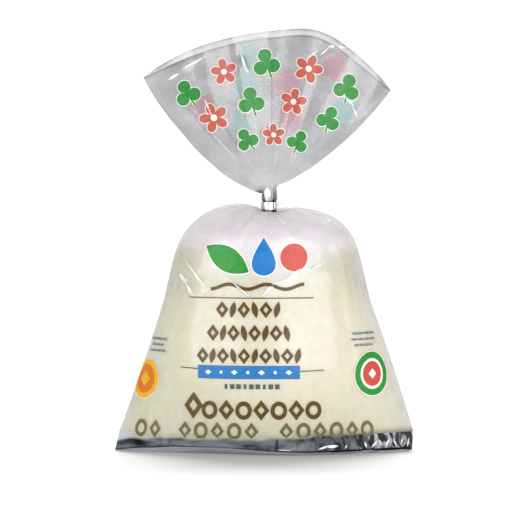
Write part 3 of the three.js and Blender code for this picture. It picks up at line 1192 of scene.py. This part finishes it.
# Painted highlights on the fan's folds, and one down the middle of the neck.
FAN_HIGHLIGHTS = (
    ((-13.2, 212.5), (-10.8, 204), 0.9),
    ((-11, 205), (-9, 201.5), 0.6),
    ((-32.5, 188), (-28.5, 179), 0.8),
    ((-30, 181), (-26.5, 177.5), 0.7),
    ((-44, 204), (-31, 211), 0.9),
    ((-52, 198), (-46, 201.5), 1.2),
    ((-45, 166), (-39, 158), 0.9),
    ((33, 216), (44, 215), 1.3),
    ((29, 211), (34.5, 216), 0.8),
    ((22, 209), (28, 214), 0.8),
    ((41, 190.5), (47, 184), 1.0),
    ((46, 184), (49, 178), 0.6),
    ((0.9, 133.2), (0.9, 141.2), 3.2),
)


def slivers(finish, folds):
    """Long thin slivers laid on the film: painted highlights along sharp folds, or the painted shadow line
    along the seal's cut edge.
    """
    made = []
    for (x0, z0), (x1, z1), width in folds:
        length = math.hypot(x1 - x0, z1 - z0)
        lean = math.degrees(math.atan2(x1 - x0, z1 - z0))
        shape = moved(turned(leaf(width, length), -lean), (x0 + x1) / 2, (z0 + z1) / 2)
        made.append(Figure(finish, shape))
    return made


def back_figures():
    """The printed back: rows of small marks between two rules, a band and a row of ornament."""
    made = [Figure("brown", moved(bar(60, 0.6), 0, z)) for z in (90.5, 45.5)]
    for row in range(9):
        z = 86 - 4.6 * row
        count = 5 if row % 3 else 3
        for _, x in parts_of(52, count):
            made.append(Figure("slate", moved(bar(52 / count - 1.6, 1.1), x, z)))
    made.append(Figure("band", moved(bar(58, 5), 0, 38)))
    for i, x in in_row(7, 9.3):
        shape = ring_shape(4.2, 2.3, 1.1) if i % 2 else diamond(8.2, 10.5, 0.42)
        made.append(Figure("brown", moved(shape, x, 24.6)))
    return made


def fan_figures(rows):
    """Clover leaves and flowers in staggered rows, each turned with the spread of the film."""
    tail = bpy.context.scene.cheese_bag_tail
    rng = random.Random(8)
    made = []
    for row, (reach, angles) in enumerate(rows):
        for i, degrees in enumerate(angles):
            angle = math.radians(degrees)
            x = tail.root_x / MM + reach * math.sin(angle)
            z = tail.root_level / MM + reach * math.cos(angle)
            size = lerp(11, 16, reach / 75) * rng.uniform(0.9, 1.1)
            turn = rng.uniform(-12, 12) - 0.8 * degrees
            kind = (i + row) % 2
            ink = ("clover", "flower")[kind]
            for part in ([flower(size)] if kind else trefoil(size)):
                shape = moved(turned(part, turn), x, z)
                made.append(Figure(ink, shape, "white", 0.38, inner=f"{ink} from inside"))
    return made


# ---------------------------------------------------------------- pieces of film


def make_seal(seal):
    """The bottom seal and the foot: welded and foil-like at its right end, made dark by painted shade and
    reflection, with painted glints.
    """
    mesh = skin("film_seal", seal, bottom=True)
    s, _side = ring_places(COLUMNS)
    rows = np.arange(len(seal))[:, None]
    top = np.interp(s, *WELD_TOP) + 0.3 * np.sin(17 * s) + 0.2 * np.sin(41 * s)
    # The foot rows under the bag take the grey-lilac of loose film, dimmed a little towards the weld's dark:
    # painted shade under the bag.
    hem = smooth(rows, FOOT_ROWS - 1, FOOT_ROWS)
    # Painted shade: a dark line along the rows at the seal's free edge, where the crinkles also stop.
    rim = 1 - smooth(np.abs(rows - FOOT_ROWS), 0.6, 1.6)
    # The lap seam, a dark line of its own.
    lap = 1 - smooth(np.abs(s - 0.07), 0.004, 0.016)
    crimped = (0.1 * smooth(s, 0.2, 0.3) + 0.6 * smooth(s, 0.56, 0.72)) * np.ones_like(rows)
    # The layers values here are painted shade over the right part of the seal and along its free edge, with
    # the lap seam's own line.
    paint(
        mesh,
        welded=np.maximum(hem, 0.12) * (1 - smooth(seal[..., 2] / MM, top - 1.4, top + 0.6)),
        crinkled=crimped * (1 - rim),
        layers=greatest(smooth(s, 0.2, 0.34), lap, rim),
        droplets=np.maximum(1 - hem, smooth(np.abs(s), 0.88, 0.96)),
    )
    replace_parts(new_object("film_seal", mesh, [welded_film_with_painted_shade()]), "bag")


def make_panels(bag, level, plain, panels):
    """The two panels over the seal, wet up to the level of the whey and beaded with droplets above."""
    mesh = skin("film_body", panels)
    s, side = ring_places(COLUMNS)
    x, y, z = np.moveaxis(plain, -1, 0)
    tide = 3 * MM * np.sin(x / (15 * MM) + 1) + 2 * MM * np.sin(x / (6.5 * MM))
    tide -= 10 * MM * smooth(np.abs(s), 0.35, 0.9)
    above = smooth(z + tide, level - 28 * MM, level + 1 * MM)
    # Round the neck, above the whey, the film is made opaque and takes the painted shade of the gathered
    # pleats.
    from_neck = np.hypot(x - bag.neck_x, y)
    gathered = smooth(z, level, level + 8 * MM) * (1 - smooth(from_neck, 5 * MM, 12 * MM))
    # Dark line along the folded side edges: partly the doubled film, partly painted shade.
    edge = smooth(np.abs(s), 0.996, 1.0)[None, :] * np.ones_like(z)
    sides = smooth(s, 0.84, 0.98) + smooth(-s, 0.92, 1.0)
    # Where the panel turns in to the seal it is in its own shade, more so towards the right.
    tucked = 1 - smooth(z, bag.seal_height - 1 * MM, bag.seal_height + 4.5 * MM)
    tucked = tucked * lerp(0.15, 0.85, smooth(s, 0.1, 0.35))
    haze = lerp(0.52 + 0.2 * sides, lerp(0.84, 0.66, smooth(z, level + 2 * MM, level + 14 * MM)), above)
    haze = lerp(haze, 0.95, greatest(gathered, 0.4 * edge, tucked))
    # Painted shade: darker towards the sides in a band below the shoulders, and towards the lower left.
    upper = smooth(z, 74 * MM, 92 * MM) * (1 - smooth(z, 103 * MM, 116 * MM))
    shade = 0.15 * smooth(np.abs(s), 0.5, 0.85) * upper
    shade += 0.08 * smooth(-s, 0.1, 0.6) * (1 - smooth(z, 30 * MM, 55 * MM))
    shade = greatest(shade, gathered * pleat_shade(s, side), 0.3 * edge, 0.9 * tucked)
    beaded = smooth(z + tide, level - 26 * MM, level + 6 * MM)
    # The layers value is painted shade: the gathered neck, the folded edges, the tuck and these darker sides.
    paint(mesh, haze=haze, layers=shade, droplets=np.maximum(beaded, 0.45 * sides))
    wet = polyethylene_film("wet inside", "#ece9d5", 1.6, 0.2)
    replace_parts(new_object("film_body", mesh, [wet]), "bag")


def make_fan(tail, fan):
    """The neck above the clip and the fan: dry and grey, with painted shade in the gathered neck and dark
    lines at its edges and mouth.
    """
    mesh = skin("film_tail", fan)
    s, side = ring_places(TAIL_COLUMNS)
    x, _y, z = np.moveaxis(fan, -1, 0)
    reach = np.hypot(x - tail.root_x, z - tail.root_level)
    # Round the neck the film is made nearly opaque and pale, and takes the painted shade of its pleats and
    # outer edges.
    below = smooth(-z, -tail.root_level - 5 * MM, -tail.root_level + 1 * MM)
    below = below * (1 - smooth(reach, 6 * MM, 10 * MM))
    # Dark lines along the folded side edges and at the cut mouth: partly the doubled film, partly painted
    # shade.
    edge = smooth(np.abs(s), 0.997, 1.0)[None, :] * np.ones_like(reach)
    share = np.linspace(0, 1, len(fan))[:, None]
    cut = 0.5 * smooth(share, 0.988, 0.996) * np.ones_like(reach)
    haze = lerp(0.33, 0.5, smooth(share, 0.15, 0.7)) - 0.04 * smooth(x, 0, 40 * MM)
    # The layers value is painted shade in the neck, and the dark lines at the edges and the mouth.
    paint(
        mesh,
        haze=lerp(haze, 0.95, greatest(below, 0.6 * edge, cut)),
        layers=greatest(below * pleat_shade(s, side), 0.7 * edge, cut),
        droplets=0.8 * below,
    )
    dry = polyethylene_film("dry", "#767277", 2.0, 0.16)
    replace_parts(new_object("film_tail", mesh, [dry]), "bag")


# ---------------------------------------------------------------- stage


def place_on_stage(name, data, place, way):
    """Puts a camera or a lamp at a place, turned to look along a way."""
    thing = bpy.data.objects.new(name, data)
    thing.location = place
    thing.rotation_mode = "QUATERNION"
    thing.rotation_quaternion = way.to_track_quat("-Z", "Y")
    bpy.context.scene.collection.objects.link(thing)
    return thing


def place_camera(stage):
    aim = Vector((stage.aim_x, 0, stage.aim_z))
    back = Vector((0, -math.cos(stage.elevation), math.sin(stage.elevation)))
    data = bpy.data.cameras.new("camera")
    data.sensor_width = 36
    data.lens = 36 * stage.distance / stage.field
    data.clip_end = 50
    bpy.context.scene.camera = place_on_stage("camera", data, aim + back * stage.distance, -back)


def lay_floor():
    floor = bpy.data.meshes.new("floor")
    far = 12  # metres, well outside the picture
    floor.from_pydata([(-far, -far, 0), (far, -far, 0), (far, far, 0), (-far, far, 0)], [], [(0, 1, 2, 3)])
    floor.materials.append(studio_floor())
    sheet = bpy.data.objects.new("floor", floor)
    bpy.context.scene.collection.objects.link(sheet)


# Soft lamps in front of the bag: name, place and size in metres, and watts.
PANEL_LAMPS = (
    ("key", (0.9, -1.6, 0.32), (1.5, 1.1), 20.5),
    ("fill", (-1.2, -1.5, 0.3), (1.2, 1.1), 13.5),
    ("left", (-1.5, -0.9, 0.4), (0.15, 0.8), 2.5),
    ("right", (1.5, -0.5, 0.4), (0.1, 0.8), 1.5),
)


def hang_lamps():
    """Two broad suns from behind, which lay the soft shadow, and four panels of light in front."""
    for name, aside in (("high left", 0.24), ("high right", -0.32)):
        lamp = bpy.data.lights.new(name, "SUN")
        lamp.energy = 1.77
        lamp.angle = math.radians(30)
        high = place_on_stage(name, lamp, (0, 0, 0), Vector((aside, -0.8, -1.05)))
        high.visible_glossy = False
    bag_middle = Vector((0, 0, 0.1))
    for name, place, size, watts in PANEL_LAMPS:
        lamp = bpy.data.lights.new(name, "AREA")
        lamp.shape = "RECTANGLE"
        lamp.size, lamp.size_y = size
        lamp.energy = watts
        place_on_stage(name, lamp, place, bag_middle - Vector(place))


def studio_world():
    """White all round to the camera, and a grey wall of light from behind to everything else."""
    world = bpy.data.worlds.new("studio")
    world.use_nodes = True
    tree = world.node_tree
    tree.nodes.clear()
    seen = add_node(tree, "LightPath", output="Is Camera Ray")
    way = add_node(tree, "TexCoord", output="Generated")
    behind = add_node(tree, "SeparateXYZ", {"Vector": way}, output="Y")
    backdrop = add_node(
        tree,
        "MapRange",
        {"Value": behind, "From Min": -0.1, "From Max": 0.5, "To Min": 0.15, "To Max": 0.43},
    )
    wall = add_node(tree, "MapRange", {"Value": seen, "To Max": 1.13})
    glow = add_node(tree, "Math", {0: backdrop, 1: wall}, operation="MAXIMUM")
    sky = add_node(tree, "Background", {"Color": (1.0, 1.0, 1.0, 1.0), "Strength": glow})
    add_node(tree, "OutputWorld", {"Surface": sky})
    return world


# ---------------------------------------------------------------- operators


class CHEESE_OT_stage(bpy.types.Operator):
    """Makes the camera, the pale floor and the soft studio lights"""

    bl_idname = "cheese_bag.stage"
    bl_label = "Stage"

    def execute(self, context):
        scene = context.scene
        place_camera(scene.cheese_bag_stage)
        lay_floor()
        hang_lamps()
        scene.world = studio_world()
        scene.view_settings.view_transform = "Standard"
        return {"FINISHED"}


class CHEESE_OT_film(bpy.types.Operator):
    """Makes the film bag: its body with the bottom seal, and the fan above the clip"""

    bl_idname = "cheese_bag.film"
    bl_label = "Film bag"

    def execute(self, context):
        scene = context.scene
        bag, tail = scene.cheese_bag, scene.cheese_bag_tail
        plain = body_grid(bag)
        body = folded_body(bag, plain)
        make_seal(body[: SEAL_ROWS + 1])
        make_panels(bag, scene.cheese_bag_filling.whey_level, plain[SEAL_ROWS:], body[SEAL_ROWS:])
        make_fan(tail, folded_fan(bag, tail))
        return {"FINISHED"}


class CHEESE_OT_filling(bpy.types.Operator):
    """Makes the whey that fills the bag and the ball of mozzarella in it"""

    bl_idname = "cheese_bag.filling"
    bl_label = "Whey and ball"

    def execute(self, context):
        scene = context.scene
        bag, filling = scene.cheese_bag, scene.cheese_bag_filling
        plain = body_grid(bag)
        wet = slice(SEAL_ROWS, int(np.argmax(plain[:, COLUMNS // 4, 2] > filling.whey_level)))
        wall = folded_body(bag, plain)[wet] - grid_normals(plain)[wet] * filling.film_gap
        foot = plain[0] * np.array([0.97, 0.97, 1]) + np.array([0, 0, filling.film_gap])
        wall[-1, :, 2] = filling.whey_level
        wall[:-1, :, 2] = np.minimum(wall[:-1, :, 2], filling.whey_level)
        grid = np.concatenate([[lerp(foot, wall[0], share) for share in (0, 0.35, 0.7)], wall])
        mesh = skin("whey", grid, bottom=True, top=True)
        centre = np.array([bag.neck_x + 6 * MM, 0, filling.ball_height / 2 + 17 * MM])
        radii = np.array([filling.ball_width, filling.ball_depth, filling.ball_height]) / 2
        away = np.linalg.norm((grid - centre) / radii, axis=-1)
        paint(mesh, ball=1 - smooth(away, 1.0, 1.55))
        whey = new_object("whey", mesh, [milky_whey()])
        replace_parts(whey, "bag")

        ball = self.ball(centre, radii)
        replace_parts(ball, "bag")
        return {"FINISHED"}

    @staticmethod
    def ball(centre, radii):
        """A ball that was pinched off by hand, so it is not quite round and has a nick on top."""
        rng = random.Random(3)
        lumps = []
        lump_count = 14
        for _ in range(lump_count):
            way = Vector([rng.gauss(0, 1) for _ in range(3)]).normalized()
            lumps.append((way, rng.uniform(-1, 1)))
        nick = Vector((0.25, -0.35, 0.9)).normalized()
        shift = row_shift()
        bm = bmesh.new()
        bmesh.ops.create_icosphere(bm, subdivisions=5, radius=1)
        for vertex in bm.verts:
            out = vertex.co.normalized()
            swell = 0.018 * sum(strength * max(out.dot(way), 0) ** 6 for way, strength in lumps)
            torn = 0.05 * math.exp(-((out - nick).length / 0.12) ** 2)
            spiral = 0.006 * math.sin(18 * out.z + 3 * math.atan2(out.y, out.x))
            size = 1 + swell - torn + spiral
            vertex.co = Vector(out[i] * size * radii[i] + centre[i] + shift[i] for i in range(3))
        mesh = bpy.data.meshes.new("mozzarella_ball")
        bm.to_mesh(mesh)
        bm.free()
        return new_object("mozzarella_ball", mesh, [stretched_curd()])


class CHEESE_OT_print(bpy.types.Operator):
    """Lays the printed figures on the film"""

    bl_idname = "cheese_bag.printing"
    bl_label = "Print"

    def execute(self, context):
        scene = context.scene
        bag, colours = scene.cheese_bag, scene.cheese_bag_print
        inks = {name: printing_ink(name, getattr(colours, name)) for name in PrintColours.__annotations__}
        # The inner sides of the fan's figures glow: painted light for daylight that comes through the ink
        # from the other side.
        for name, code in (("clover", "#aed0cd"), ("flower", "#e0b2bc")):
            inks[f"{name} from inside"] = printing_ink(f"{name} from inside", srgb(code), 0.36)
        body, fan = ("film_body", "film_seal"), ("film_tail",)

        def panel(side):
            return lambda flat: rolled(bag, flat, side)

        lay_print("print_front", body, front_figures(), inks, FRONT, panel(FRONT))
        lay_print("print_back", body, back_figures(), inks, BACK, panel(BACK))
        # Rows of figures on the fan: how far from the neck, and the angles from upright.
        near = ((31, (-24, 3, 28)), (50, (-37, -12, 14, 38)), (69, (-40, -21, -2, 17, 36)))
        far = ((40, (-24, 15)), (59, (-38, -12, 8, 42)), (75, (-8, 27)))
        lay_print("print_fan_front", fan, fan_figures(near), inks, FRONT, straight)
        lay_print("print_fan_back", fan, fan_figures(far), inks, BACK, straight)
        return {"FINISHED"}


class CHEESE_OT_folds(bpy.types.Operator):
    """Makes the painted highlights along the sharpest folds of the film, and the painted shadow line along
    the seal's lower edge
    """

    bl_idname = "cheese_bag.folds"
    bl_label = "Sharp folds"

    def execute(self, context):
        # Painted light and shade: near-white slivers for the glints on folds, a near-black strip for the
        # shade under the seal's edge.
        finishes = {"fold": fold_highlight_film(), "edge": shadow_line_film()}
        for name, film, figures in (
            ("folds_front", "film_body", slivers("fold", FRONT_HIGHLIGHTS)),
            ("folds_seal", "film_seal", slivers("fold", SEAL_HIGHLIGHTS) + slivers("edge", SEAL_SHADOW_LINE)),
            ("folds_fan", "film_tail", slivers("fold", FAN_HIGHLIGHTS)),
        ):
            piece = lay_print(name, [film], figures, finishes, FRONT, straight)
        return {"FINISHED"}


class CHEESE_OT_clip(bpy.types.Operator):
    """Gives the clip its drawn aluminium finish"""

    bl_idname = "cheese_bag.clip"
    bl_label = "Clip"

    def execute(self, context):
        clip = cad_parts["clip"]
        metal = drawn_aluminium()
        for place in clip.material_slots:
            place.material = metal
        if not clip.material_slots:
            clip.data.materials.append(metal)
        return {"FINISHED"}


class CHEESE_PT_panel(bpy.types.Panel):
    """Lists the steps in the sidebar"""

    bl_idname = "CHEESE_PT_panel"
    bl_label = "Bagged mozzarella"
    bl_space_type = "VIEW_3D"
    bl_region_type = "UI"
    bl_category = "Cheese"

    def draw(self, context):
        for step in STEPS:
            self.layout.operator(step.bl_idname)


STEPS = (
    CHEESE_OT_stage,
    CHEESE_OT_film,
    CHEESE_OT_filling,
    CHEESE_OT_print,
    CHEESE_OT_folds,
    CHEESE_OT_clip,
)
GROUPS = {
    "cheese_bag": BagSizes,
    "cheese_bag_tail": TailSizes,
    "cheese_bag_filling": FillingSizes,
    "cheese_bag_print": PrintColours,
    "cheese_bag_stage": StageSettings,
}


def register():
    for kind in (*GROUPS.values(), *STEPS, CHEESE_PT_panel):
        bpy.utils.register_class(kind)
    for name, kind in GROUPS.items():
        setattr(bpy.types.Scene, name, bpy.props.PointerProperty(type=kind))


def unregister():
    for name in GROUPS:
        delattr(bpy.types.Scene, name)
    for kind in (CHEESE_PT_panel, *STEPS, *GROUPS.values()):
        bpy.utils.unregister_class(kind)


def main():
    register()
    bpy.ops.cheese_bag.stage()
    bpy.ops.cheese_bag.film()
    bpy.ops.cheese_bag.filling()
    bpy.ops.cheese_bag.printing()
    bpy.ops.cheese_bag.folds()
    bpy.ops.cheese_bag.clip()


if __name__ == "__main__":
    main()
